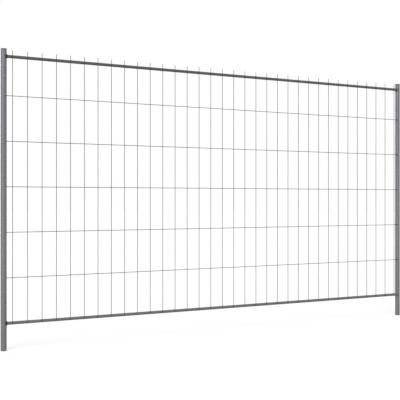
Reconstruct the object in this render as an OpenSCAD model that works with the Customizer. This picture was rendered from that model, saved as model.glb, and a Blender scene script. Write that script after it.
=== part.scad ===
// Temporary fence panel: welded wire mesh on two round rails, between two round posts.
// Millimetres, +Z up. The origin is on the ground, midway between the posts, in the plane
// of their axes. The mesh lies on the -Y side.

/* [Panel] */
// Overall length, over the outsides of the posts
panel_length = 3450; // [1500:10:4000]
// Overall height, from the ground to the top of the post caps
panel_height = 1990; // [1000:10:2400]

/* [Posts] */
// Outside diameter of a post
post_d = 40; // [36:0.5:60]
// Wall of a post
post_wall = 1.5; // [1:0.1:3]
// Thickness of the disc that closes the top of a post
cap_t = 2; // [1:0.5:6]
// Chamfer round the top edge of that disc
cap_chamfer = 0.6; // [0.2:0.1:1.5]

/* [Rails] */
// Outside diameter of a rail
rail_d = 21.3; // [16:0.1:24]
// Wall of a rail
rail_wall = 1.5; // [1:0.1:3]
// Drop from the top of the panel to the axis of the top rail
top_rail_drop = 50; // [30:1:200]
// Height of the axis of the bottom rail above the ground
bottom_rail_height = 180; // [40:1:400]
// How far the axes of the rails lie in front of the axes of the posts
rail_forward = 5.5; // [0:0.5:8]

/* [Mesh] */
// Diameter of an upright wire
upright_d = 4; // [2.5:0.1:5]
// Diameter of a cross wire
cross_d = 4; // [2.5:0.1:5]
// Distance between upright wires, axis to axis
upright_pitch = 100; // [80:1:200]
// Distance between cross wires, axis to axis, counted up from the bottom rail
cross_pitch = 300; // [150:5:600]
// Least clear gap between a post and the nearest upright wire
upright_edge_gap = 15; // [5:1:40]
// Least distance from the highest cross wire to the axis of the top rail
cross_edge_gap = 60; // [30:1:150]
// How far an upright wire stands above the top rail
spike_rise = 29; // [2:1:40]
// How far the lower end of an upright wire stays above the underside of the bottom rail
tail_inset = 3; // [1:0.5:8]
// Chamfer at the cut ends of an upright wire
upright_chamfer = 0.4; // [0.1:0.1:1]
// Depth to which the welded wires are pressed into one another and onto the rails
weld_set_down = 0.4; // [0.1:0.1:1]

/* [Welds] */
// Leg of the fillet weld round the end of a rail
rail_weld_leg = 5; // [2:0.5:6]
// How far the face of that weld bulges out past the line between its toes
rail_weld_crown = 0.8; // [0.2:0.1:1.5]
// Radius of the weld round the end of a cross wire
wire_weld_r = 4; // [3:0.1:5]

/* [Hidden] */
$fn = 96;
// Overrun of every cut
overrun = 1;
degrees_per_radian = 180 / PI;

post_r = post_d / 2;
post_spacing = panel_length - post_d;
post_tube_h = panel_height - cap_t;

rail_r = rail_d / 2;
rail_y = -rail_forward;
top_rail_z = panel_height - top_rail_drop;
bottom_rail_z = bottom_rail_height;

upright_r = upright_d / 2;
upright_y = rail_y - rail_r - upright_r + weld_set_down;
upright_bottom = bottom_rail_z - rail_r + tail_inset;
upright_top = top_rail_z + rail_r + spike_rise;
upright_room = post_spacing - post_d - upright_d - 2 * upright_edge_gap;
upright_count = floor(upright_room / upright_pitch) + 1;

cross_r = cross_d / 2;
cross_y = upright_y + upright_r + cross_r - weld_set_down;
cross_count = floor((top_rail_z - bottom_rail_z - cross_edge_gap) / cross_pitch);

// Where the axis of a cross wire meets the face of a post, from the axis of the post
cross_end_x = sqrt(pow(post_r, 2) - pow(cross_y, 2));

// Sections of the weld round the end of a rail, and the points along its face
rail_weld_steps = 60;
rail_weld_face_points = 4;
// Depth of the toes of that weld below the faces of the tubes, as a share of its leg
toe_depth_share = 0.06;

function two_digits(i) = str(i < 10 ? "0" : "", i);
function upright_name(i) = str("upright_wire_", two_digits(i));
function cross_name(i) = str("cross_wire_", i);
function upright_x(i) = (i - (upright_count + 1) / 2) * upright_pitch;
function cross_z(i) = bottom_rail_z + i * cross_pitch;

// Shapes shared by the pieces

module at_post(side) {
    translate([side * post_spacing / 2, 0, 0]) children();
}

// The outside of both posts as solid bars, which cope the ends of rails and cross wires
module post_bars() {
    for (side = [-1, 1])
        at_post(side)
            translate([0, 0, -overrun])
                cylinder(h = panel_height + 2 * overrun, d = post_d);
}

module rail_bar(z, d) {
    translate([0, rail_y, z])
        rotate([0, 90, 0])
            cylinder(h = post_spacing, d = d, center = true);
}

module upright_bar(i) {
    length = upright_top - upright_bottom;
    translate([upright_x(i), upright_y, upright_bottom])
        rotate_extrude()
            polygon([
                [0, 0],
                [upright_r - upright_chamfer, 0],
                [upright_r, upright_chamfer],
                [upright_r, length - upright_chamfer],
                [upright_r - upright_chamfer, length],
                [0, length],
            ]);
}

module cross_bar(i) {
    translate([0, cross_y, cross_z(i)])
        rotate([0, 90, 0])
            cylinder(h = post_spacing, d = cross_d, center = true);
}

// Seam between a rail and a post, with the post on the Z axis and the rail towards +X.
// The angle a goes round the rail, from the line of the rail that is furthest to the front.

function seam_y(a) = rail_y - rail_r * cos(a);
function seam_x(a) = sqrt(pow(post_r, 2) - pow(seam_y(a), 2));
function seam_z(a) = rail_r * sin(a);

// Way across the unrolled face of the post that leads straight away from the seam
function seam_away(a) = let (way = [cos(a), sin(a) * post_r / seam_x(a)]) way / norm(way);

// Edge of the weld on the post, one leg from the seam over the curved face
function post_toe(a) =
    let (
        leg_turn = rail_weld_leg * seam_away(a)[0] / post_r * degrees_per_radian,
        turn = asin(-seam_y(a) / post_r) + leg_turn,
        reach = post_r - toe_depth_share * rail_weld_leg
    )
    [reach * cos(turn), -reach * sin(turn), seam_z(a) + rail_weld_leg * seam_away(a)[1]];

// Edge of the weld on the rail, one leg from the seam
function rail_toe(a) =
    let (reach = rail_r - toe_depth_share * rail_weld_leg)
    [seam_x(a) + rail_weld_leg, rail_y - reach * cos(a), reach * sin(a)];

// A point inside the walls of both tubes, where the section of the weld closes
function weld_root(a) =
    let (reach = rail_r - rail_wall)
    [seam_x(a) - post_wall, rail_y - reach * cos(a), reach * sin(a)];

// A point of the face of the weld, with t going from the rail to the post
function weld_face(a, t) =
    let (
        middle = (rail_toe(a) + post_toe(a)) / 2,
        outward = middle - weld_root(a)
    )
    rail_toe(a) * (1 - t) + post_toe(a) * t
        + outward / norm(outward) * rail_weld_crown * sin(180 * t);

function weld_section(a) = concat(
    [weld_root(a)],
    [for (k = [0:rail_weld_face_points]) weld_face(a, k / rail_weld_face_points)]
);

// A closed ring of sections, with two triangles between each pair of neighbouring points
module section_ring(sections) {
    rings = len(sections);
    sides = len(sections[0]);
    points = [for (section = sections) for (point = section) point];
    faces = [
        for (i = [0:rings - 1])
            for (j = [0:sides - 1])
                let (
                    here = i * sides,
                    next = (i + 1) % rings * sides,
                    k = (j + 1) % sides
                )
                each [
                    [here + j, here + k, next + k],
                    [here + j, next + k, next + j],
                ]
    ];
    polyhedron(points = points, faces = faces);
}

// Pieces

module post(side) {
    color("#8b8d91")
        at_post(side)
            difference() {
                cylinder(h = post_tube_h, d = post_d);
                translate([0, 0, -overrun])
                    cylinder(h = post_tube_h + 2 * overrun, d = post_d - 2 * post_wall);
            }
}

module post_cap(side) {
    color("#84868a")
        at_post(side)
            translate([0, 0, post_tube_h])
                rotate_extrude()
                    polygon([
                        [0, 0],
                        [post_r, 0],
                        [post_r, cap_t - cap_chamfer],
                        [post_r - cap_chamfer, cap_t],
                        [0, cap_t],
                    ]);
}

module rail(z) {
    color("#7d7f83")
        difference() {
            rail_bar(z, rail_d);
            rail_bar(z, rail_d - 2 * rail_wall);
            post_bars();
        }
}

module rail_weld(side, z) {
    color("#3a3a3c")
        difference() {
            at_post(side)
                translate([0, 0, z])
                    mirror([side > 0 ? 1 : 0, 0, 0])
                        section_ring([
                            for (i = [0:rail_weld_steps - 1]) weld_section(360 * i / rail_weld_steps)
                        ]);
            rail_bar(z, rail_d);
            post_bars();
        }
}

module upright_wire(i) {
    color("#75777b")
        difference() {
            upright_bar(i);
            rail_bar(top_rail_z, rail_d);
            rail_bar(bottom_rail_z, rail_d);
        }
}

module cross_wire(i) {
    color("#75777b")
        difference() {
            cross_bar(i);
            post_bars();
            for (k = [1:upright_count]) upright_bar(k);
        }
}

module wire_welds(side) {
    color("#4a4a4c")
        for (i = [1:cross_count])
            difference() {
                at_post(side)
                    translate([-side * cross_end_x, cross_y, cross_z(i)])
                        rotate([0, 90, 0])
                            sphere(r = wire_weld_r);
                cross_bar(i);
                post_bars();
            }
}

post(-1);  // post_left
post(1);  // post_right
post_cap(-1);  // post_cap_left
post_cap(1);  // post_cap_right
rail(top_rail_z);  // top_rail
rail(bottom_rail_z);  // bottom_rail
rail_weld(-1, top_rail_z);  // top_left_weld
rail_weld(1, top_rail_z);  // top_right_weld
rail_weld(-1, bottom_rail_z);  // bottom_left_weld
rail_weld(1, bottom_rail_z);  // bottom_right_weld
wire_welds(-1);  // left_wire_welds
wire_welds(1);  // right_wire_welds
for (i = [1:upright_count])
    upright_wire(i);
for (i = [1:cross_count])
    cross_wire(i);
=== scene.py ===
# %% [markdown]
# # A temporary fence panel
#
# Panels like this close off building sites. Two round posts and two round rails make a frame, and a
# mesh of welded wire lies on its front. The CAD model holds every piece at its true size and place.
# It could simply be painted, but its rims are sharp and its welds are plain. So this script keeps it
# as a fixed frame, reads the sizes from it, and builds each piece again with the detail of the real
# one.

# %% Load the frame
import math
import random

import bmesh
import bpy
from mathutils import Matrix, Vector


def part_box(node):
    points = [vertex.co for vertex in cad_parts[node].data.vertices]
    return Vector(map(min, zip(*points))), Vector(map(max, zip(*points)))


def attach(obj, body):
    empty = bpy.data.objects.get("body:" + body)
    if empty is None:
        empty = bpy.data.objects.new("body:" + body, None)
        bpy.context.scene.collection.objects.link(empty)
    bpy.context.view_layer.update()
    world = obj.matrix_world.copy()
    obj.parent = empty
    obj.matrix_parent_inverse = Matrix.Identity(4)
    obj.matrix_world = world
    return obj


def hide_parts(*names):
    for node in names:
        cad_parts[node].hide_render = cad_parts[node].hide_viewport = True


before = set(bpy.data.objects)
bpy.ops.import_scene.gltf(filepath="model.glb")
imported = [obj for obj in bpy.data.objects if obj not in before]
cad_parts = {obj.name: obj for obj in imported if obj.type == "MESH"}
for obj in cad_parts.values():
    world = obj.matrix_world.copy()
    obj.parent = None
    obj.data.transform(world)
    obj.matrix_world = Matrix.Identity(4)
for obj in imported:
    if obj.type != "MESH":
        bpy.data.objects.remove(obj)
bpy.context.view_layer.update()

# %% [markdown]
# ## Sizes
#
# The sizes could be typed in again, but then they could drift away from the CAD model. Reading the
# box of each node keeps the two together. Only what a box can't tell, such as the wall of a tube, is
# written here.

# %% Read the sizes from the frame
MM = 0.001
POST_WALL = 1.5 * MM
RAIL_WALL = 1.5 * MM
SIDES = {"left": -1, "right": 1}
RAILS = ("top", "bottom")


def middle(node):
    low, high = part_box(node)
    return (low + high) / 2


def extent(node):
    low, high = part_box(node)
    return high - low


post_x = {side: middle("post_" + side).x for side in SIDES}
post_r = extent("post_left").y / 2
post_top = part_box("post_left")[1].z
cap_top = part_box("post_cap_left")[1].z

rail_z = {rail: middle(rail + "_rail").z for rail in RAILS}
rail_y = middle("top_rail").y
rail_r = extent("top_rail").z / 2

uprights = sorted(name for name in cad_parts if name.startswith("upright_wire_"))
crosses = sorted(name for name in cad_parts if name.startswith("cross_wire_"))
upright_x = [middle(name).x for name in uprights]
upright_r = extent(uprights[0]).x / 2
upright_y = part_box(uprights[0])[0].y + upright_r
upright_low, upright_high = (corner.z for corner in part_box(uprights[0]))
cross_z = [middle(name).z for name in crosses]
cross_r = extent(crosses[0]).z / 2
cross_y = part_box(crosses[0])[1].y - cross_r
print("posts", post_x, "rails", rail_z, "uprights", len(uprights), "cross wires", len(crosses))

# %% [markdown]
# ## Camera
#
# The photograph was taken from about a metre above the ground, with the panel turned away to the
# right. A camera could be set by eye, but the grid of wires gives it more exactly: the numbers below
# were found by fitting the crossings of the mesh to their places in the picture. The camera stands
# level, so the posts stay upright.

# %% Set the camera
CAMERA_PLACE = (-3.08737, -5.24893, 0.99691)
CAMERA_TURN = math.radians(-28.54)
CAMERA_LENS = 72.0379
CAMERA_SENSOR = 36.0
CAMERA_SHIFT_UP = -0.00153


def add_object(name, data):
    """Puts a new object into the scene."""
    made = bpy.data.objects.new(name, data)
    bpy.context.scene.collection.objects.link(made)
    return made


camera_data = bpy.data.cameras.new("camera")
camera_data.lens = CAMERA_LENS
camera_data.sensor_width = CAMERA_SENSOR
camera_data.shift_y = CAMERA_SHIFT_UP
camera = add_object("camera", camera_data)
camera.location = CAMERA_PLACE
camera.rotation_euler = (math.pi / 2, 0.0, CAMERA_TURN)
bpy.context.scene.camera = camera
print("camera", CAMERA_LENS, "mm lens, turned", round(math.degrees(CAMERA_TURN), 2), "degrees")

# %% [markdown]
# ## Node helpers
#
# A material is a tree of nodes. It could be wired by hand in Blender's editor, but a script can be
# read and run again. Adding each node, setting it and linking it takes several lines, so a few small
# helpers do that.

# %% Helpers for nodes
def add_node(tree, kind, inputs=None, **settings):
    """Adds a node with its settings, and sets or links its inputs."""
    made = tree.nodes.new("ShaderNode" + kind)
    for name, value in settings.items():
        setattr(made, name, value)
    for name, value in (inputs or {}).items():
        if isinstance(value, bpy.types.NodeSocket):
            tree.links.new(value, made.inputs[name])
        else:
            made.inputs[name].default_value = value
    return made


def maths(tree, operation, *values):
    """One step of arithmetic on one to three numbers or sockets."""
    return add_node(tree, "Math", dict(enumerate(values)), operation=operation).outputs[0]


def vector_maths(tree, operation, first, second):
    """One step of arithmetic on two vectors, or the scaling of a vector by a number."""
    second_input = "Scale" if operation == "SCALE" else 1
    return add_node(tree, "VectorMath", {0: first, second_input: second}, operation=operation).outputs[0]


def smooth_step(tree, value, low, high, to_low=0.0, to_high=1.0):
    """A soft step from one value to another."""
    inputs = {"Value": value, "From Min": low, "From Max": high, "To Min": to_low, "To Max": to_high}
    return add_node(tree, "MapRange", inputs, interpolation_type="SMOOTHSTEP").outputs[0]


def fade(tree, distance, reach):
    """1 where a distance is 0, softly down to 0 at the reach."""
    return smooth_step(tree, distance, 0.0, reach, 1.0, 0.0)


def noise(tree, place, scale, detail, roughness=0.5):
    """Cloudy noise. Its outputs are a height and a colour of three such heights."""
    inputs = {"Vector": place, "Scale": scale, "Detail": detail, "Roughness": roughness}
    return add_node(tree, "TexNoise", inputs).outputs


print("helpers for nodes ready")

# %% [markdown]
# ## Node groups
#
# Crystals, dust and rubs come back in several materials. Their nodes could be repeated in each, but a
# node group is built once and then placed in each material with its own values.

# %% Helper for node groups
VECTORS = ("Place", "Stretch")


def new_group(name, inputs, outputs):
    """An empty node group, with its named inputs and outputs."""
    tree = bpy.data.node_groups.new(name, "ShaderNodeTree")
    for in_out, sockets in (("INPUT", inputs), ("OUTPUT", outputs)):
        for socket in sockets:
            kind = "NodeSocketVector" if socket in VECTORS else "NodeSocketFloat"
            tree.interface.new_socket(socket, in_out=in_out, socket_type=kind)
    return tree, tree.nodes.new("NodeGroupInput").outputs, tree.nodes.new("NodeGroupOutput").inputs


print("helper:", new_group.__name__)

# %% [markdown]
# ## Zinc crystals
#
# Steel that is dipped in molten zinc shows a pattern of flat crystals, the spangle. Each crystal has
# its own tone because it grew at its own angle. Plain noise would give clouds without borders. A
# Voronoi texture splits space into cells, and a little noise bends their borders, so that they
# feather into each other as real crystals do.

# %% Group: zinc crystals
NOISE_MIDDLE = 0.5
FINE_DETAIL = 3.0
BENDS_PER_CRYSTAL = 2.3
BORDER_WIDTH = 0.07
crystals, given, made = new_group(
    "Zinc crystals", ["Place", "Crystal Size", "Feather"], ["Tone", "Border"]
)
per_metre = maths(crystals, "DIVIDE", 1.0, given["Crystal Size"])
scaled = vector_maths(crystals, "SCALE", given["Place"], per_metre)
wander = noise(crystals, scaled, BENDS_PER_CRYSTAL, FINE_DETAIL)["Color"]
centred = vector_maths(crystals, "SUBTRACT", wander, (NOISE_MIDDLE,) * 3)
bend = vector_maths(crystals, "SCALE", centred, given["Feather"])
cells = {"Vector": vector_maths(crystals, "ADD", scaled, bend), "Scale": 1.0}
cell_colour = add_node(crystals, "TexVoronoi", cells).outputs["Color"]
cell_tone = add_node(crystals, "SeparateColor", {"Color": cell_colour}).outputs[0]
to_border = add_node(crystals, "TexVoronoi", cells, feature="DISTANCE_TO_EDGE").outputs["Distance"]
crystals.links.new(cell_tone, made["Tone"])
crystals.links.new(fade(crystals, to_border, BORDER_WIDTH), made["Border"])
print("group:", crystals.name)

# %% [markdown]
# ## Drawing lines
#
# Tube is rolled and wire is drawn through a die, and both leave fine lines along the length. A wave
# texture would draw them too evenly, so a noise texture is stretched along one axis. The stretch is
# an input, so that the same group serves upright and level pieces.

# %% Group: drawing lines
STREAK_ROUGHNESS = 0.6
STREAK_LEVELS = (0.3, 0.7)
lines, given, made = new_group("Drawing lines", ["Place", "Stretch"], ["Lines"])
stretched = vector_maths(lines, "MULTIPLY", given["Place"], given["Stretch"])
streaks = noise(lines, stretched, 1.0, FINE_DETAIL, STREAK_ROUGHNESS)[0]
lines.links.new(smooth_step(lines, streaks, *STREAK_LEVELS), made["Lines"])
print("group:", lines.name)

# %% [markdown]
# ## Weld heat
#
# Where steel is welded, the zinc burns off in a small patch and leaves a dull grey stain. Each weld
# could have a mask of its own, but the welds repeat at an even pitch, so one group can mark them all:
# it folds the distance along the piece into one pitch and measures how far the nearest weld is. Off
# adds a distance across the piece, so that a stain can stay on the side that was welded.

# %% Group: weld heat
EDGE_SCALE = 420.0
EDGE_SHARE = 0.9
heat, given, made = new_group(
    "Weld heat", ["Place", "Along", "Off", "First Weld", "Pitch", "Reach"], ["Heat"]
)


def sway(tree, place, scale, detail, width):
    """Noise that goes up and down about 0, over a given width."""
    centred = maths(tree, "SUBTRACT", noise(tree, place, scale, detail)[0], NOISE_MIDDLE)
    return maths(tree, "MULTIPLY", centred, width)


from_first = maths(heat, "SUBTRACT", given["Along"], given["First Weld"])
half_pitch = maths(heat, "MULTIPLY", given["Pitch"], 0.5)
folded = maths(heat, "WRAP", from_first, half_pitch, maths(heat, "MULTIPLY", half_pitch, -1.0))
along_squared = maths(heat, "POWER", maths(heat, "ABSOLUTE", folded), 2.0)
off_squared = maths(heat, "POWER", given["Off"], 2.0)
away = maths(heat, "SQRT", maths(heat, "ADD", along_squared, off_squared))
edge_width = maths(heat, "MULTIPLY", given["Reach"], EDGE_SHARE)
ragged = sway(heat, given["Place"], EDGE_SCALE, FINE_DETAIL, edge_width)
burnt_part = fade(heat, maths(heat, "ADD", away, ragged), given["Reach"])
heat.links.new(burnt_part, made["Heat"])
print("group:", heat.name)

# %% [markdown]
# ## Ground dust
#
# The lower part of a panel stands in dust and splashes. The dust is thick near the ground and thins
# out with height. A plain gradient would look sprayed on, so soft clouds of noise shift it up and
# down. It takes the blue out of the zinc, as the photograph shows on the lower half of the posts.

# %% Group: ground dust
CLOUD_SCALE = 9.0
CLOUD_DETAIL = 5.0
CLOUD_SHARE = 0.5
dust, given, made = new_group("Ground dust", ["Place", "Height"], ["Dust"])
up = add_node(dust, "SeparateXYZ", {0: given["Place"]}).outputs[2]
cloud_width = maths(dust, "MULTIPLY", given["Height"], CLOUD_SHARE)
clouds = sway(dust, given["Place"], CLOUD_SCALE, CLOUD_DETAIL, cloud_width)
dusty_part = fade(dust, maths(dust, "ADD", up, clouds), given["Height"])
dust.links.new(dusty_part, made["Dust"])
print("group:", dust.name)

# %% [markdown]
# ## Handling scuffs
#
# Panels are stacked and dragged, and the zinc shows it as short bright rubs. Each could be modelled,
# but the highest peaks of a noise that is stretched along the piece look the same. The photograph is
# too small to show any, so only a few are added.

# %% Group: handling scuffs
SCUFF_DETAIL = 4.0
SCUFF_ROUGHNESS = 0.7
SCUFF_LEVEL = 0.75
SCUFF_SOFTNESS = 0.05
scuffs, given, made = new_group("Handling scuffs", ["Place", "Stretch", "Amount"], ["Scuff"])
stretched = vector_maths(scuffs, "MULTIPLY", given["Place"], given["Stretch"])
peaks = noise(scuffs, stretched, 1.0, SCUFF_DETAIL, SCUFF_ROUGHNESS)[0]
threshold = maths(scuffs, "SUBTRACT", SCUFF_LEVEL, given["Amount"])
full_level = maths(scuffs, "ADD", threshold, SCUFF_SOFTNESS)
scuffs.links.new(smooth_step(scuffs, peaks, threshold, full_level), made["Scuff"])
print("group:", scuffs.name)

# %% [markdown]
# ## Materials
#
# Each material starts from Blender's Principled shader. Its patterns could follow a UV map, but that
# would have to be laid out to scale for every piece. Object coordinates are in metres here, so with
# them each pattern has its real size.

# %% Helpers for materials
def colour(hex_code):
    """A screen colour, such as 8a8c90, as linear light, by the curve of the sRGB standard."""
    parts = [int(hex_code[i:i + 2], 16) / 255 for i in (0, 2, 4)]
    return tuple(((p + 0.055) / 1.055) ** 2.4 if p > 0.04045 else p / 12.92 for p in parts) + (1.0,)


def start_material(name):
    """A new material, its nodes, its Principled shader and the place of a point of its surface."""
    material = bpy.data.materials.new(name)
    material.use_nodes = True
    tree = material.node_tree
    place = add_node(tree, "TexCoord").outputs["Object"]
    return material, tree, tree.nodes["Principled BSDF"], place


def place_group(tree, group, **inputs):
    """A group in a material. An input's name has _ for each space."""
    named = {name.replace("_", " "): value for name, value in inputs.items()}
    return add_node(tree, "Group", named, node_tree=group).outputs


def mix_colours(tree, share, first, second):
    """The second colour over the first, by a share."""
    share_input, first_input, second_input, colour_output = 0, 6, 7, 2
    inputs = {share_input: share, first_input: first, second_input: second}
    return add_node(tree, "Mix", inputs, data_type="RGBA").outputs[colour_output]


def cover(tree, under, mask, strength, over):
    """A colour over another where a mask says so, at most by a strength."""
    return mix_colours(tree, maths(tree, "MULTIPLY", mask, strength), under, over)


def add_bump(tree, shader, height, strength, depth):
    """Turns a height into small bumps of the surface."""
    bump = add_node(tree, "Bump", {"Height": height, "Strength": strength, "Distance": depth})
    tree.links.new(bump.outputs[0], shader.inputs["Normal"])


print("helpers for materials ready")

# %% [markdown]
# ## Galvanised steel
#
# All tubes and wires have the same finish: dull grey zinc. It is neither a mirror nor a paint, so the
# shader is part metal and part diffuse. One function builds it for every kind of piece, which gives
# its own tones, crystal size and direction of the lines. Fresh zinc on tube is a little blue.

# %% Function: galvanised steel
AXES = "xyz"
DUST_COLOUR = colour("7f807c")
RUB_COLOUR = colour("b4b6b9")
SHINE = 0.35
BUMP_DEPTH = 0.05 * MM


def stretch_along(axis, across, along):
    """How often a pattern repeats in a metre on each axis, for a piece along one of them."""
    return [along if name == axis else across for name in AXES]


def weld_stain(tree, place, axis, welds):
    """The strongest stain of all the welds along a piece."""
    axes = add_node(tree, "SeparateXYZ", {0: place}).outputs
    stain = 0.0
    for weld in welds:
        off = 0.0
        for distance in weld.get("off", ()):
            off = maths(tree, "ADD", off, distance(tree, axes))
        burnt = place_group(
            tree, heat, Place=place, Along=axes[AXES.index(axis)], Off=off,
            First_Weld=weld["first"], Pitch=weld["pitch"], Reach=weld["reach"],
        )["Heat"]
        stain = maths(tree, "MAXIMUM", stain, maths(tree, "MULTIPLY", burnt, weld["stain"]))
    return stain


def zinc_steel(name, look, axis, welds):
    """Zinc on a piece that runs along an axis, with a stain at each weld."""
    material, tree, shader, place = start_material(name)
    line_stretch = stretch_along(axis, look["lines_across"], look["lines_along"])
    rub_stretch = stretch_along(axis, look["rubs_across"], look["rubs_along"])
    spangle = place_group(
        tree, crystals, Place=place, Crystal_Size=look["crystal"], Feather=look["feather"]
    )
    drawn = place_group(tree, lines, Place=place, Stretch=line_stretch)["Lines"]
    dusty = place_group(tree, dust, Place=place, Height=look["dust_height"])["Dust"]
    rubbed = place_group(tree, scuffs, Place=place, Stretch=rub_stretch, Amount=look["rubs"])["Scuff"]
    stain = weld_stain(tree, place, axis, welds)
    crystal_tone = maths(tree, "MULTIPLY", spangle["Tone"], 1.0 - look["line_share"])
    tone = maths(tree, "MULTIPLY_ADD", drawn, look["line_share"], crystal_tone)
    shade = mix_colours(tree, tone, colour(look["dark"]), colour(look["light"]))
    shade = cover(tree, shade, spangle["Border"], look["border"], colour(look["light"]))
    shade = cover(tree, shade, dusty, look["dust"], DUST_COLOUR)
    shade = cover(tree, shade, rubbed, look["rub_strength"], RUB_COLOUR)
    shade = mix_colours(tree, stain, shade, colour(look["burnt"]))
    tree.links.new(shade, shader.inputs["Base Color"])
    polish = maths(tree, "MULTIPLY_ADD", tone, -look["gloss_range"], look["roughness"])
    dulled = maths(tree, "MULTIPLY_ADD", maths(tree, "MAXIMUM", stain, dusty), look["dull"], polish)
    tree.links.new(dulled, shader.inputs["Roughness"])
    height = maths(tree, "MULTIPLY_ADD", drawn, look["line_bump"], spangle["Tone"])
    add_bump(tree, shader, height, look["bump"], BUMP_DEPTH)
    shader.inputs["Metallic"].default_value = look["metal"]
    shader.inputs["Specular IOR Level"].default_value = SHINE
    return material


print(zinc_steel.__name__, "takes a look, a direction and the welds")

# %% [markdown]
# ## The five zinc finishes
#
# Tube is coated as strip and has faint crystals. Wire is coated thinly and shows almost none, but its
# drawing lines are stronger and it is darker. The welds stain the zinc: faintly at each crossing of
# the mesh and on the fronts of the rails, and more on the inner sides of the posts, at the ends of
# rails and cross wires, and in a band round the top of each post, where the cap is welded on. In the
# photograph that band is the dark edge at the top. One grey for all would be simpler, but the
# photograph shows the rails darker than the posts, so the rails and the cross wires get darker greys:
# painted shade for level pieces, which catch less of the light.

# %% Materials of the tubes and wires
TUBE_LOOK = {
    "light": "848589", "dark": "66676c", "crystal": 7 * MM, "feather": 0.6, "border": 0.12,
    "lines_across": 700.0, "lines_along": 4.0, "line_share": 0.4, "line_bump": 0.8,
    "rubs_across": 150.0, "rubs_along": 16.0, "rubs": 0.08, "rub_strength": 0.35,
    "dust": 0.55, "dust_height": 1.7, "burnt": "434344",
    "roughness": 0.5, "gloss_range": 0.16, "dull": 0.16, "metal": 0.7, "bump": 0.4,
}
CAP_LOOK = TUBE_LOOK | {"light": "707277", "dark": "5c5e63", "crystal": 6 * MM}
# Darker greys than the posts: painted shade for level tubes, which catch less of the light
RAIL_SHADED_LOOK = TUBE_LOOK | {
    "light": "686969", "dark": "4f5050", "crystal": 6 * MM, "dust": 0.5, "burnt": "363637",
}
WIRE_LOOK = TUBE_LOOK | {
    "light": "5c5e62", "dark": "303235", "crystal": 3 * MM, "border": 0.05, "lines_across": 1900.0,
    "lines_along": 9.0, "line_share": 0.8, "rubs_across": 900.0, "rubs_along": 30.0, "dust": 0.3,
    "burnt": "282523", "roughness": 0.46, "bump": 0.6,
}
# Darker greys than the uprights: painted shade for level wires, which catch less of the light
CROSS_SHADED_LOOK = WIRE_LOOK | {"light": "4a4c4f", "dark": "25272a", "dust": 0.2}

# A pitch longer than any piece, for a weld that comes only once
ONLY_ONE = 10.0
cross_pitch = cross_z[1] - cross_z[0]
AT_RAILS = {"first": rail_z["bottom"], "pitch": rail_z["top"] - rail_z["bottom"]}
AT_CROSSES = {"first": cross_z[0], "pitch": cross_pitch}
AT_UPRIGHTS = {"first": upright_x[0], "pitch": upright_x[1] - upright_x[0]}
AT_POSTS = {"first": post_x["left"], "pitch": post_x["right"] - post_x["left"]}
AT_CAP = {"first": post_top, "pitch": ONLY_ONE}

# How far out the strip begins that faces a weld, as a share of the radius
POST_STRIP = 0.8
RAIL_STRIP = 0.95


def past(tree, value, line):
    """How far a value lies past a line, and 0 before it."""
    return maths(tree, "MAXIMUM", maths(tree, "SUBTRACT", value, line), 0.0)


def behind_inner_side(tree, axes):
    """How far a point of a post lies behind the strip that faces the mesh."""
    return past(tree, maths(tree, "ABSOLUTE", axes[0]), post_x["right"] - POST_STRIP * post_r)


def above_mesh(tree, axes):
    """How far a point lies above the mesh, where no cross wire is welded."""
    return past(tree, axes[2], cross_z[-1] + cross_pitch / 2)


def behind_front(tree, axes):
    """How far a point of a rail lies behind the strip that carries the uprights."""
    return past(tree, axes[1], rail_y - RAIL_STRIP * rail_r)


def inside_rim(tree, axes):
    """How far a point of a cap lies inside its rim."""
    across = maths(tree, "SUBTRACT", maths(tree, "ABSOLUTE", axes[0]), post_x["right"])
    deep_squared = maths(tree, "POWER", axes[1], 2.0)
    from_axis = maths(tree, "SQRT", maths(tree, "MULTIPLY_ADD", across, across, deep_squared))
    return maths(tree, "SUBTRACT", post_r, from_axis)


post_zinc = zinc_steel("post_zinc", TUBE_LOOK, "z", [
    AT_RAILS | {"reach": 24 * MM, "stain": 0.6, "off": [behind_inner_side]},
    AT_CROSSES | {"reach": 9 * MM, "stain": 0.5, "off": [behind_inner_side, above_mesh]},
    AT_CAP | {"reach": 11 * MM, "stain": 0.6},
])
cap_zinc = zinc_steel("cap_zinc", CAP_LOOK, "z", [
    AT_CAP | {"reach": 9 * MM, "stain": 0.6, "off": [inside_rim]},
])
rail_zinc_painted_shade = zinc_steel("rail_zinc_painted_shade", RAIL_SHADED_LOOK, "x", [
    AT_UPRIGHTS | {"reach": 6 * MM, "stain": 0.2, "off": [behind_front]},
    AT_POSTS | {"reach": 40 * MM, "stain": 0.6},
])
upright_zinc = zinc_steel("upright_zinc", WIRE_LOOK, "z", [
    AT_CROSSES | {"reach": 5 * MM, "stain": 0.3, "off": [above_mesh]},
    AT_RAILS | {"reach": 6 * MM, "stain": 0.3},
])
cross_zinc_painted_shade = zinc_steel("cross_zinc_painted_shade", CROSS_SHADED_LOOK, "x", [
    AT_UPRIGHTS | {"reach": 5 * MM, "stain": 0.3},
    AT_POSTS | {"reach": 26 * MM, "stain": 0.6},
])
print("materials:", [m.name for m in (post_zinc, cap_zinc, rail_zinc_painted_shade, upright_zinc, cross_zinc_painted_shade)])

# %% [markdown]
# ## Weld scale
#
# A fresh bead is dark: it carries scale and soot, a little brown where it was hottest, and grains of
# the zinc paint that is brushed over it. One noise would give only one of these, so there are two, for
# patches and for grains.

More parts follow.
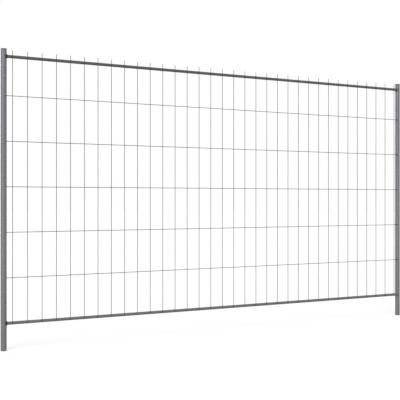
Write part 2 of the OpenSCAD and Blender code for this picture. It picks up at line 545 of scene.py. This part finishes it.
# %% Group: weld scale
# For each output: the input with its size, and the levels between which it sets in
SCALE_PARTS = {"Patches": ("Patch Size", 0.35, 0.65), "Grains": ("Grain Size", 0.45, 0.7)}
weld_scale, given, made = new_group(
    "Weld scale", ["Place", "Patch Size", "Grain Size"], ["Patches", "Grains"]
)
for part, (size, low, high) in SCALE_PARTS.items():
    per_metre = maths(weld_scale, "DIVIDE", 1.0, given[size])
    spots = noise(weld_scale, given["Place"], per_metre, FINE_DETAIL)[0]
    weld_scale.links.new(smooth_step(weld_scale, spots, low, high), made[part])
print("group:", weld_scale.name)

# %% [markdown]
# ## Weld metal
#
# Three kinds of weld metal use that scale. In the photograph the joints on the left are almost black,
# and the joints on the right are grey. So the beads on the left are dark, burnt weld scale made near
# black with painted shade, and those on the right are a lit copy, with painted light and more zinc
# paint. The flash of the mesh is squeezed out under pressure and is cleaner than a bead. The same
# metal serves for the small beads of the caps and the cross wires.

# %% Materials of the welds
PATCH_ROUGHNESS = (0.42, 0.66)
GRAIN_DEPTH = 0.1 * MM
# Near black: burnt weld scale, darkened further with painted shade for joints that face away from the
# light
BURNT_SHADED_BEAD_LOOK = {
    "burnt": "0b0b0c", "brown": "1b1714", "paint": "515254", "paint_share": 0.1, "patch": 5 * MM,
    "grain": 1.6 * MM, "metal": 0.1, "shine": 0.12, "bump": 0.25,
}
# A lighter copy of the same bead, with more zinc paint: painted light for joints that face the light
BRUSHED_LIT_BEAD_LOOK = BURNT_SHADED_BEAD_LOOK | {
    "burnt": "5c5d5f", "brown": "605c58", "paint": "8a8b8e", "paint_share": 0.6,
    "metal": 0.5, "shine": SHINE,
}
FLASH_LOOK = BURNT_SHADED_BEAD_LOOK | {
    "burnt": "4a4b4d", "brown": "4e4a46", "paint": "77797c", "paint_share": 0.5, "patch": 3 * MM,
    "metal": 0.4, "shine": SHINE, "bump": 0.0,
}


def weld_metal(name, look):
    """Burnt weld metal with grains of zinc paint."""
    material, tree, shader, place = start_material(name)
    spotted = place_group(
        tree, weld_scale, Place=place, Patch_Size=look["patch"], Grain_Size=look["grain"]
    )
    shade = mix_colours(tree, spotted["Patches"], colour(look["burnt"]), colour(look["brown"]))
    shade = cover(tree, shade, spotted["Grains"], look["paint_share"], colour(look["paint"]))
    tree.links.new(shade, shader.inputs["Base Color"])
    dulled = smooth_step(tree, spotted["Patches"], 0.0, 1.0, *PATCH_ROUGHNESS)
    tree.links.new(dulled, shader.inputs["Roughness"])
    if look["bump"]:
        add_bump(tree, shader, spotted["Grains"], look["bump"], GRAIN_DEPTH)
    shader.inputs["Metallic"].default_value = look["metal"]
    shader.inputs["Specular IOR Level"].default_value = look["shine"]
    return material


# Beads on the left carry painted shade, beads on the right painted light
bead_metal = {
    "left": weld_metal("burnt_bead_painted_shade", BURNT_SHADED_BEAD_LOOK),
    "right": weld_metal("brushed_bead_painted_light", BRUSHED_LIT_BEAD_LOOK),
}
flash_metal = weld_metal("flash_metal", FLASH_LOOK)
print("materials:", [m.name for m in (*bead_metal.values(), flash_metal)])

# %% [markdown]
# ## Meshes from rings
#
# Every piece of the panel is a ring of points that is carried along a line: a tube, a wire, a disc or
# a bead. Blender's cylinders would do for plain ones, but not for coped ends and rounded rims. So
# one function sweeps a profile round an axis. It also lays the long surface out in strips beside each
# other on a UV map, so that a texture baked later has the same detail all along a wire.

# %% Helpers for swept meshes
STRIP_GAP = 0.08
# Part of the map that is kept for the flat ends
END_BAND = 0.04
END_MIDDLE = 0.5
END_RADIUS = 0.3
TINY = 1e-6
TURN_DIGITS = 6


def even_turns(count, extra=()):
    """Angles round an axis, with a few more where a detail needs them."""
    turns = [math.tau * i / count for i in range(count)] + [turn % math.tau for turn in extra]
    return sorted({round(turn, TURN_DIGITS) for turn in turns})


def with_strip_ends(profile, strips):
    """Adds a point of the profile wherever one strip of the map ends and the next begins."""
    step = sum(math.dist(a, b) for a, b in zip(profile, profile[1:])) / strips
    found = [(profile[0], 0.0)]
    run = 0.0
    for a, b in zip(profile, profile[1:]):
        length = math.dist(a, b)
        first = math.floor(run / step + TINY) + 1
        for k in range(first, math.ceil((run + length) / step - TINY)):
            share = (k * step - run) / length
            found.append((tuple(p + (q - p) * share for p, q in zip(a, b)), k * step))
        run += length
        found.append((b, run))
    return found, step


def sweep(bm, profile, turns, place, strips, closed=False):
    """Carries a profile of (radius, along) pairs round an axis. An open one gets flat ends."""
    uv = bm.loops.layers.uv.verify()
    points, step = with_strip_ends(profile + profile[:1] if closed else profile, strips)
    runs = [run for point, run in points]
    if closed:
        points = points[:-1]
    rings = [[bm.verts.new(place(*point, turn)) for turn in turns] for point, run in points]
    count = len(turns)
    for k in range(len(runs) - 1):
        low, high = rings[k], rings[(k + 1) % len(rings)]
        strip = min(int((runs[k] + runs[k + 1]) / 2 / step), strips - 1)
        for i in range(count):
            j = (i + 1) % count
            face = bm.faces.new((low[i], low[j], high[j], high[i]))
            for loop, run, part in zip(face.loops, (k, k, k + 1, k + 1), (i, i + 1, i + 1, i)):
                across = STRIP_GAP / 2 + (1 - STRIP_GAP) * part / count
                loop[uv].uv = (runs[run] / step - strip, (strip + across) / strips * (1 - END_BAND))
    for n, ring in enumerate(() if closed else (rings[0][::-1], rings[-1])):
        for i, loop in enumerate(bm.faces.new(ring).loops):
            turn = math.tau * i / count
            u = n + END_MIDDLE + END_RADIUS * math.cos(turn)
            v = END_MIDDLE - END_RADIUS * math.sin(turn)
            loop[uv].uv = (u * END_BAND, 1 - END_BAND * v)


print("helpers for swept meshes ready")

# %% [markdown]
# ## Pieces
#
# A piece is a mesh with its materials. It rides on the panel's one body, and the CAD nodes that it
# stands for are hidden. Round surfaces have to look smooth and cut ends sharp. A subdivision surface
# would round the ends as well, so the faces are shaded smooth, with a crease wherever they meet at a
# wide angle.

# %% Helper for pieces
SHARP_FROM = math.radians(40)
BAKE_MAP = "OFBake"


def make_piece(name, bm, materials, slot, nodes=()):
    """Turns a bmesh into a piece that rides on the panel and stands for CAD nodes."""
    bmesh.ops.recalc_face_normals(bm, faces=bm.faces)
    mesh = bpy.data.meshes.new(name)
    bm.to_mesh(mesh)
    bm.free()
    mesh.shade_smooth()
    mesh.set_sharp_from_angle(angle=SHARP_FROM)
    if mesh.uv_layers:
        mesh.uv_layers[0].name = BAKE_MAP
    for material in materials:
        mesh.materials.append(material)
    piece = add_object(name, mesh)
    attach(piece, "root")
    if nodes:
        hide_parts(*nodes)
    return piece


print("helper:", make_piece.__name__)

# %% [markdown]
# ## Posts
#
# A post is a steel tube, cut square and deburred. At the foot it is open, so that it drops over the
# pin of a foot block. Strip steel becomes tube along one welded seam, which stays as a low, narrow
# ridge. A modifier could round the rims, but the profile is short enough to write out.

# %% Build the posts
POST_SIDES = 72
POST_STRIPS = 6
RIM = 0.5 * MM
RIM_BOW = 0.3 * RIM
SEAM_HEIGHT = 0.15 * MM
SEAM_HALF_WIDTH = math.radians(5)
SEAM_SHARES = (-1, -0.5, 0, 0.5, 1)
SEAM_TURNS = {"left": math.radians(125), "right": math.radians(55)}


def with_seam(radius, turn, seam, outside):
    """A radius of a tube, with the ridge of its seam where it is the outside one."""
    if seam is None or radius < outside:
        return radius
    off = abs((turn - seam + math.pi) % math.tau - math.pi)
    return radius + SEAM_HEIGHT * max(0.0, 1 - off / SEAM_HALF_WIDTH)


def seam_points(seam):
    """Angles at which a seam needs points."""
    return [seam + SEAM_HALF_WIDTH * share for share in SEAM_SHARES]


def on_post(x, seam=None):
    """Places points round the axis of a post."""
    def place(radius, along, turn):
        reach = with_seam(radius, turn, seam, post_r)
        return (x + reach * math.cos(turn), reach * math.sin(turn), along)
    return place


bore_r = post_r - POST_WALL
post_profile = [
    (post_r - RIM, 0.0), (post_r - RIM_BOW, RIM_BOW), (post_r, RIM),
    (post_r, post_top - RIM), (post_r - RIM, post_top),
    (bore_r, post_top), (bore_r, RIM), (bore_r + RIM_BOW, RIM_BOW), (bore_r + RIM, 0.0),
]
for side, seam in SEAM_TURNS.items():
    bm = bmesh.new()
    turns = even_turns(POST_SIDES, seam_points(seam))
    sweep(bm, post_profile, turns, on_post(post_x[side], seam), POST_STRIPS, closed=True)
    post = make_piece(side + "_post", bm, [post_zinc], "post_tube", ["post_" + side])
    print(post.name, len(post.data.vertices), "points")

# %% [markdown]
# ## Post caps
#
# A disc closes the top of each post, so that rain stays out. It is welded on, and the bead lies in the
# groove between the rim of the tube and the rim of the disc. The bead is a thin ring with ripples, one
# for each drop of metal. The ripples could be a bump in the material, but a real shape also shows in
# the outline.

# %% Build the post caps
CAP_SIDES = 72
CAP_DISH = 0.25 * MM
CAP_HUB = 0.25
# Inset of the rim in millimetres, and height as a share of the thickness of the disc
CAP_RIM = ((0.45, 0.0), (0.12, 0.25), (0.0, 0.5), (0.15, 0.75), (0.6, 0.95), (1.4, 1.0))
# Radius as a share of the post's, and depth as a share of the dish
CAP_HOLLOW = ((0.8, 0.0), (0.55, 0.6), (CAP_HUB, 1.0))
CAP_BEAD_R = 0.45 * MM
CAP_BEAD_SIDES = 8
CAP_RIPPLES = 60
RIPPLE_STEPS = 6
RIPPLE_LOW = 0.82
RIPPLE_RISE = 0.18


def scallop(phase):
    """Height of a ripple, from 0 in the cusp between two drops to 1 on the middle of one."""
    return math.sqrt(1 - (2 * (phase % 1.0) - 1) ** 2)


def skin(bm, rings, closed, material=0):
    """Joins a chain of rings with faces. An open chain gets a face at each end."""
    faces = []
    for low, high in zip(rings, rings[1:] + rings[:1] if closed else rings[1:]):
        for i in range(len(low)):
            j = (i + 1) % len(low)
            faces.append((low[i], low[j], high[j], high[i]))
    if not closed:
        faces += [rings[0][::-1], rings[-1]]
    for face in faces:
        bm.faces.new(face).material_index = material


def cap_bead(bm, centre):
    """The thin, rippled bead round the top of a post."""
    steps = CAP_RIPPLES * RIPPLE_STEPS
    rings = []
    for i in range(steps):
        turn = math.tau * i / steps
        thick = CAP_BEAD_R * (RIPPLE_LOW + RIPPLE_RISE * scallop(i / RIPPLE_STEPS))
        ring = []
        for k in range(CAP_BEAD_SIDES):
            tilt = math.tau * k / CAP_BEAD_SIDES
            reach = post_r - CAP_BEAD_R + thick * math.cos(tilt)
            point = Vector((reach * math.cos(turn), reach * math.sin(turn), thick * math.sin(tilt)))
            ring.append(bm.verts.new(centre + point))
        rings.append(ring)
    skin(bm, rings, closed=True, material=1)


cap_t = cap_top - post_top
cap_profile = [
    (CAP_HUB * post_r, post_top),
    *((post_r - inset * MM, post_top + share * cap_t) for inset, share in CAP_RIM),
    *((share * post_r, cap_top - depth * CAP_DISH) for share, depth in CAP_HOLLOW),
]
for side in SIDES:
    bm = bmesh.new()
    sweep(bm, cap_profile, even_turns(CAP_SIDES), on_post(post_x[side]), 1)
    # The strips are made for long pieces, so a cap keeps no map
    bm.loops.layers.uv.remove(bm.loops.layers.uv.active)
    cap_bead(bm, Vector((post_x[side], 0, post_top)))
    cap = make_piece(side + "_cap", bm, [cap_zinc, flash_metal], "post_cap", ["post_cap_" + side])
    print(cap.name, len(cap.data.vertices), "points")

# %% [markdown]
# ## Rails
#
# A rail is a thinner tube. Each end is coped, which means it is cut to a saddle that fits the round
# post, so that no gap is left to weld across. A boolean could cut the saddle, but it leaves long thin
# triangles. Here each line along the tube simply ends where it meets the face of the post.

# %% Build the rails
RAIL_SIDES = 56
RAIL_STRIPS = 10
RAIL_SEAM = math.radians(20)
# How far the ends reach into the face of the post, so that no gap shows
BITE = 0.3 * MM
half_span = post_x["right"]


def reach_of(y):
    """How far from the middle a line at this depth meets the post."""
    return half_span - math.sqrt(post_r ** 2 - y ** 2) + BITE


def between_posts(axis_y, z, seam=None):
    """Places points round a level axis, with ends that fit the posts."""
    def place(radius, along, turn):
        wide = with_seam(radius, turn, seam, rail_r)
        y = axis_y + wide * math.cos(turn)
        return (along / half_span * reach_of(y), y, z + wide * math.sin(turn))
    return place


rail_profile = [
    (rail_r, -half_span), (rail_r, half_span),
    (rail_r - RAIL_WALL, half_span), (rail_r - RAIL_WALL, -half_span),
]
for rail in RAILS:
    bm = bmesh.new()
    turns = even_turns(RAIL_SIDES, seam_points(RAIL_SEAM))
    place = between_posts(rail_y, rail_z[rail], RAIL_SEAM)
    sweep(bm, rail_profile, turns, place, RAIL_STRIPS, closed=True)
    tube = make_piece(rail + "_tube", bm, [rail_zinc_painted_shade], "rail_tube", [rail + "_rail"])
    print(tube.name, len(tube.data.vertices), "points")

# %% [markdown]
# ## Upright wires
#
# The upright wires stand on the front of both rails and end in short spikes above the top one. They
# are sheared off a coil, and a shear leaves a slanted face with a rounded edge. One wire could be
# copied along the row, but then all tips would be alike. So each tip gets its own slant from a seeded
# random draw.

# %% Build the upright wires
WIRE_SIDES = 20
UPRIGHT_STRIPS = 13
TIP_LENGTH = 1.6 * MM
# Radius as a share of the wire's, and distance from the end as a share of the tip
TIP = ((0.78, 0.0), (0.94, 0.12), (1.0, 0.4), (1.0, 1.0))
MOST_SLANT = math.radians(16)
SLANT_SHARES = (0.2, 1)
shear = random.Random(34)


def on_upright(x, slants):
    """Places the points of an upright, with a slant at its lower and upper end."""
    def place(radius, along, turn):
        lean = 0.0
        for end, (slope, way) in zip((upright_low, upright_high), slants):
            share = max(0.0, 1 - abs(along - end) / TIP_LENGTH)
            inward = 1 if end == upright_low else -1
            lean += inward * share * slope * (upright_r + radius * math.cos(turn - way))
        return (x + radius * math.cos(turn), upright_y + radius * math.sin(turn), along + lean)
    return place


def draw_slant():
    """Slope of a sheared tip, and the way it faces."""
    slope = math.tan(shear.uniform(*SLANT_SHARES) * MOST_SLANT)
    return slope, shear.uniform(0, math.tau)


upright_profile = [
    *((share * upright_r, upright_low + off * TIP_LENGTH) for share, off in TIP),
    *((share * upright_r, upright_high - off * TIP_LENGTH) for share, off in reversed(TIP)),
]
for number, (node, x) in enumerate(zip(uprights, upright_x), 1):
    slants = [draw_slant() for end in ("lower", "upper")]
    bm = bmesh.new()
    sweep(bm, upright_profile, even_turns(WIRE_SIDES), on_upright(x, slants), UPRIGHT_STRIPS)
    wire = make_piece(f"upright_{number:02d}", bm, [upright_zinc], "mesh_wire", [node])
print(len(uprights), "uprights of", len(wire.data.vertices), "points")

# %% [markdown]
# ## Cross wires
#
# The cross wires lie behind the uprights and run from post to post. Plain cylinders could stop inside
# the posts, but the real wires end on the round face. So they are swept between the posts as the rails
# are, with ends that follow that face.

# %% Build the cross wires
CROSS_STRIPS = 17
cross_profile = [(cross_r, -half_span), (cross_r, half_span)]
for number, (node, z) in enumerate(zip(crosses, cross_z), 1):
    bm = bmesh.new()
    sweep(bm, cross_profile, even_turns(WIRE_SIDES), between_posts(cross_y, z), CROSS_STRIPS)
    wire = make_piece(f"cross_{number}", bm, [cross_zinc_painted_shade], "mesh_wire", [node])
print(len(crosses), "cross wires of", len(wire.data.vertices), "points")

# %% [markdown]
# ## Welds of the mesh
#
# A machine presses the wires together and sends a current through each crossing. The wires sink into
# each other, and a little metal squeezes out into the four corners. That flash is a flat pillow with
# four soft points. The same pillow, longer in the direction of the wire, sits where an upright is
# welded to a rail. Bump mapping can't change an outline, and here the outline is all that shows.

# %% Build the welds of the mesh
FLASH_SIDES = 24
FLASH_RINGS = 7
FLASH_CORNERS = 4
# A lower power gives the pillow a flatter face and a steeper edge
PILLOW_POWER = 0.7
UNEVEN = 0.1
MOST_TWIST = 0.2
CROSSING_FLASH = {
    "half_wide": upright_r + 1.1 * MM, "half_thick": 1.2 * MM, "half_high": cross_r + 0.9 * MM,
    "corner": 0.16,
}
SEAT_FLASH = {
    "half_wide": upright_r + 0.9 * MM, "half_thick": 1.0 * MM, "half_high": 4.4 * MM, "corner": 0.08,
}
press = random.Random(170)


def flash(bm, centre, half_wide, half_thick, half_high, corner):
    """A flat pillow of metal in the plane of the mesh, with four corners."""
    grow = [1 + press.uniform(-UNEVEN, UNEVEN) for axis in AXES]
    twist = press.uniform(-MOST_TWIST, MOST_TWIST)
    rings = []
    for k in range(1, FLASH_RINGS):
        tilt = math.pi * k / FLASH_RINGS
        flat, rise = math.sin(tilt) ** PILLOW_POWER, math.cos(tilt)
        ring = []
        for i in range(FLASH_SIDES):
            turn = math.tau * i / FLASH_SIDES
            reach = flat * (1 - corner * math.cos(FLASH_CORNERS * turn + twist))
            ring.append(bm.verts.new(centre + Vector((
                half_wide * grow[0] * reach * math.cos(turn),
                -half_thick * grow[1] * rise,
                half_high * grow[2] * reach * math.sin(turn),
            ))))
        rings.append(ring)
    skin(bm, rings, closed=False)


crossing_y = (upright_y + upright_r + cross_y - cross_r) / 2
seat_y = (upright_y + upright_r + rail_y - rail_r) / 2
for number, z in enumerate(cross_z, 1):
    bm = bmesh.new()
    for x in upright_x:
        flash(bm, Vector((x, crossing_y, z)), **CROSSING_FLASH)
    make_piece(f"crossing_welds_{number}", bm, [flash_metal], "weld_bead")
for rail in RAILS:
    bm = bmesh.new()
    for x in upright_x:
        flash(bm, Vector((x, seat_y, rail_z[rail])), **SEAT_FLASH)
    make_piece(f"{rail}_seat_welds", bm, [flash_metal], "weld_bead")
print(len(cross_z) * len(upright_x), "crossings and", len(RAILS) * len(upright_x), "seats welded")

# %% [markdown]
# ## Shape of a fillet weld
#
# The ends of the rails and of the cross wires are welded by hand with a bead in the corner round the
# joint. Each drop of metal freezes as a curved ripple over the one before. A ring with a bump would
# give the ripples but not the path: the bead follows the curve where two round surfaces meet, with
# one edge, or toe, on each of them. So it is built from sections across the bead, and each is pushed
# out by its place in the ripple.

# %% Functions: fillet weld
FACE_POINTS = 10
LEAST_RIPPLES = 6
# Depth of the toes below the surfaces, as a share of the leg
TOE_DEPTH = 0.06
# How far the middle of a ripple runs ahead of its ends, in ripples
RIPPLE_BOW = 0.55


def joint_sections(tube_y, tube_r, leg, crown, ripple_pitch, ripple_height):
    """Sections of a bead round a level tube that ends on a post, with the post on the Z axis."""
    around = math.tau * (tube_r + leg / 2)
    steps = max(LEAST_RIPPLES, round(around / ripple_pitch)) * RIPPLE_STEPS
    sunk_tube = tube_r - TOE_DEPTH * leg
    sunk_post = post_r - TOE_DEPTH * leg
    inner_r = max(tube_r - leg / 2, tube_r / 2)
    for i in range(steps):
        a = math.tau * i / steps
        seam_y = tube_y - tube_r * math.cos(a)
        seam_x = math.sqrt(post_r ** 2 - seam_y ** 2)
        way = Vector((math.cos(a), math.sin(a) * post_r / seam_x)).normalized()
        turn = math.asin(-seam_y / post_r) + leg * way.x / post_r
        toe_z = tube_r * math.sin(a) + leg * way.y
        tube_toe = Vector((seam_x + leg, tube_y - sunk_tube * math.cos(a), sunk_tube * math.sin(a)))
        post_toe = Vector((sunk_post * math.cos(turn), -sunk_post * math.sin(turn), toe_z))
        root = Vector((seam_x - POST_WALL / 2, tube_y - inner_r * math.cos(a), inner_r * math.sin(a)))
        outward = ((tube_toe + post_toe) / 2 - root).normalized()
        section = [root]
        for k in range(FACE_POINTS + 1):
            t = k / FACE_POINTS
            swell = math.sin(math.pi * t)
            phase = i / RIPPLE_STEPS + RIPPLE_BOW * swell
            lift = crown * swell + ripple_height * (scallop(phase) - 1) * swell ** 0.5
            section.append(tube_toe.lerp(post_toe, t) + outward * lift)
        yield section


def fillet(bm, side, z, shape):
    """A bead at a post, turned towards the mesh."""
    way = -SIDES[side]
    rings = []
    for section in joint_sections(**shape):
        rings.append([bm.verts.new((post_x[side] + way * p.x, p.y, z + p.z)) for p in section])
    skin(bm, rings, closed=True)


print("functions:", joint_sections.__name__, fillet.__name__)

# %% [markdown]
# ## Spatter
#
# Welding throws small drops of metal, and a few stick near the joint. Dots in the material could stand
# for them, but drops with a shape catch the light. A seeded random draw places them, on the post and
# on the rail by turns.

# %% Functions: spatter
DROP_SIDES = 8
# Rings of a drop: height and radius, as shares of its size
DROP_RINGS = ((-0.3, 0.95), (0.15, 1.0), (0.5, 0.8), (0.72, 0.4))
# Ranges in millimetres: size, and distance from the joint along the rail and along the post
DROP_SIZES = (0.25, 0.7)
ALONG_RAIL = (7, 26)
ALONG_POST = (8, 24)
# Range of angles round the post, in radians from the side that faces the mesh
ROUND_POST = (-1.1, 0.9)
spatter_draw = random.Random(10)


def drop(bm, centre, outward, size):
    """A bead of spatter, sunk a little into the surface."""
    side_way = outward.orthogonal().normalized()
    other = outward.cross(side_way)
    rings = []
    for rise, wide in DROP_RINGS:
        ring = []
        for k in range(DROP_SIDES):
            t = math.tau * k / DROP_SIDES
            across = side_way * math.cos(t) + other * math.sin(t)
            ring.append(bm.verts.new(centre + size * (outward * rise + wide * across)))
        rings.append(ring)
    skin(bm, rings, closed=False)


def spatter(bm, side, z, count):
    """Drops on the rail and on the post, near a rail joint."""
    way = -SIDES[side]
    for n in range(count):
        size = spatter_draw.uniform(*DROP_SIZES) * MM
        turn = spatter_draw.uniform(0, math.tau)
        if n % 2:
            y = rail_y - rail_r * math.cos(turn)
            x = math.sqrt(post_r ** 2 - y ** 2) + spatter_draw.uniform(*ALONG_RAIL) * MM
            outward = Vector((0, -math.cos(turn), math.sin(turn)))
            centre = Vector((post_x[side] + way * x, y, z + rail_r * math.sin(turn)))
        else:
            facing = spatter_draw.uniform(*ROUND_POST)
            outward = Vector((way * math.cos(facing), math.sin(facing), 0))
            rise = (rail_r + spatter_draw.uniform(*ALONG_POST) * MM) * (1 if turn < math.pi else -1)
            centre = Vector((post_x[side], 0, z + rise)) + post_r * outward
        drop(bm, centre, outward, size)


print("functions:", drop.__name__, spatter.__name__)

# %% [markdown]
# ## Fillet welds
#
# Each end of a rail has its own bead, with spatter round it. The beads of the cross wires are smaller
# and clean. They could be separate as well, but the CAD model has the five on a post as one node.

# %% Build the fillet welds
RAIL_BEAD = {
    "tube_y": rail_y, "tube_r": rail_r, "leg": 5 * MM, "crown": 0.9 * MM,
    "ripple_pitch": 2.7 * MM, "ripple_height": 0.45 * MM,
}
WIRE_BEAD = {
    "tube_y": cross_y, "tube_r": cross_r, "leg": 2 * MM, "crown": 0.5 * MM,
    "ripple_pitch": 2.2 * MM, "ripple_height": 0.25 * MM,
}
SPATTER_COUNT = 14
for side in SIDES:
    for rail in RAILS:
        bm = bmesh.new()
        fillet(bm, side, rail_z[rail], RAIL_BEAD)
        spatter(bm, side, rail_z[rail], SPATTER_COUNT)
        node = f"{rail}_{side}_weld"
        bead = make_piece(f"{rail}_{side}_bead", bm, [bead_metal[side]], "weld_bead", [node])
        print(bead.name, len(bead.data.vertices), "points")
    bm = bmesh.new()
    for z in cross_z:
        fillet(bm, side, z, WIRE_BEAD)
    beads = make_piece(side + "_wire_beads", bm, [flash_metal], "weld_bead", [side + "_wire_welds"])
    print(beads.name, len(beads.data.vertices), "points")

# %% [markdown]
# ## White world
#
# The photograph has a plain white ground. A world of strength 1 is white, but as a light it would reach
# the panel from all sides and make it look flat. So the world is white only to the camera and to
# reflections in the zinc, and gives much less light than that.

# %% World
WORLD_FILL = 0.15


def grey(level):
    return (level, level, level, 1.0)


def seen_directly(tree):
    """1 for rays that show the white ground: from the camera, in reflections and through glass."""
    path = add_node(tree, "LightPath").outputs
    seen = maths(tree, "MAXIMUM", path["Is Camera Ray"], path["Is Glossy Ray"])
    return maths(tree, "MAXIMUM", seen, path["Is Transmission Ray"])


world = bpy.data.worlds.new("white_studio")
bpy.context.scene.world = world
world.use_nodes = True
tree = world.node_tree
background = tree.nodes["Background"].inputs
strength = smooth_step(tree, seen_directly(tree), 0.0, 1.0, WORLD_FILL, 1.0)
tree.links.new(strength, background["Strength"])
background["Color"].default_value = grey(1.0)
print("world of strength 1, with", WORLD_FILL, "as light")

# %% [markdown]
# ## Floor
#
# The panel stands on a pale floor, which keeps a faint shadow. Plain white paint would show as grey
# wherever less light falls on it. So to the camera and to reflections the matt grey paint also glows,
# and the two come out white. From below it is clear, so that it never hides the panel.

# %% Floor
FLOOR_RADIUS = 60.0
FLOOR_SIDES = 64
FLOOR_BOUNCE = 0.3
FLOOR_SEEN = 0.34
FLOOR_GLOW = 0.68
floor_paint = bpy.data.materials.new("floor_paint")
floor_paint.use_nodes = True
tree = floor_paint.node_tree
tree.nodes.remove(tree.nodes["Principled BSDF"])
seen = seen_directly(tree)
pale = mix_colours(tree, seen, grey(FLOOR_BOUNCE), grey(FLOOR_SEEN))
matt = add_node(tree, "BsdfDiffuse", {"Color": pale}).outputs[0]
glow = add_node(tree, "Emission", {"Strength": maths(tree, "MULTIPLY", seen, FLOOR_GLOW)}).outputs[0]
both = add_node(tree, "AddShader", {0: matt, 1: glow}).outputs[0]
clear = add_node(tree, "BsdfTransparent").outputs[0]
below = add_node(tree, "NewGeometry").outputs["Backfacing"]
shown = add_node(tree, "MixShader", {0: below, 1: both, 2: clear}).outputs[0]
tree.links.new(shown, tree.nodes["Material Output"].inputs["Surface"])

bm = bmesh.new()
bmesh.ops.create_circle(bm, cap_ends=True, segments=FLOOR_SIDES, radius=FLOOR_RADIUS)
floor_mesh = bpy.data.meshes.new("floor")
bm.to_mesh(floor_mesh)
bm.free()
floor_mesh.materials.append(floor_paint)
floor = add_object("floor", floor_mesh)
print(floor.name, "of", FLOOR_RADIUS, "m radius")

# %% [markdown]
# ## Lamps
#
# A wide sun lamp from the front left lights the left sides of the posts, as in the photograph, and a
# weaker one from behind keeps the far sides from going black. Area lamps would do as well, but their
# light falls off, and the far floor would turn grey.

# %% Lamps
# Turns, heights and widths are in degrees
LAMPS = {
    "key": {"strength": 3.0, "turn": -45, "height": 40, "wide": 40},
    "back": {"strength": 1.6, "turn": -165, "height": 28, "wide": 50},
}
for name, lamp in LAMPS.items():
    data = bpy.data.lights.new(name, "SUN")
    data.energy = lamp["strength"]
    data.angle = math.radians(lamp["wide"])
    sun = add_object(name, data)
    sun.rotation_euler = (math.radians(90 - lamp["height"]), 0.0, math.radians(lamp["turn"]))
bpy.context.scene.view_settings.view_transform = "Standard"
print("lamps:", list(LAMPS))
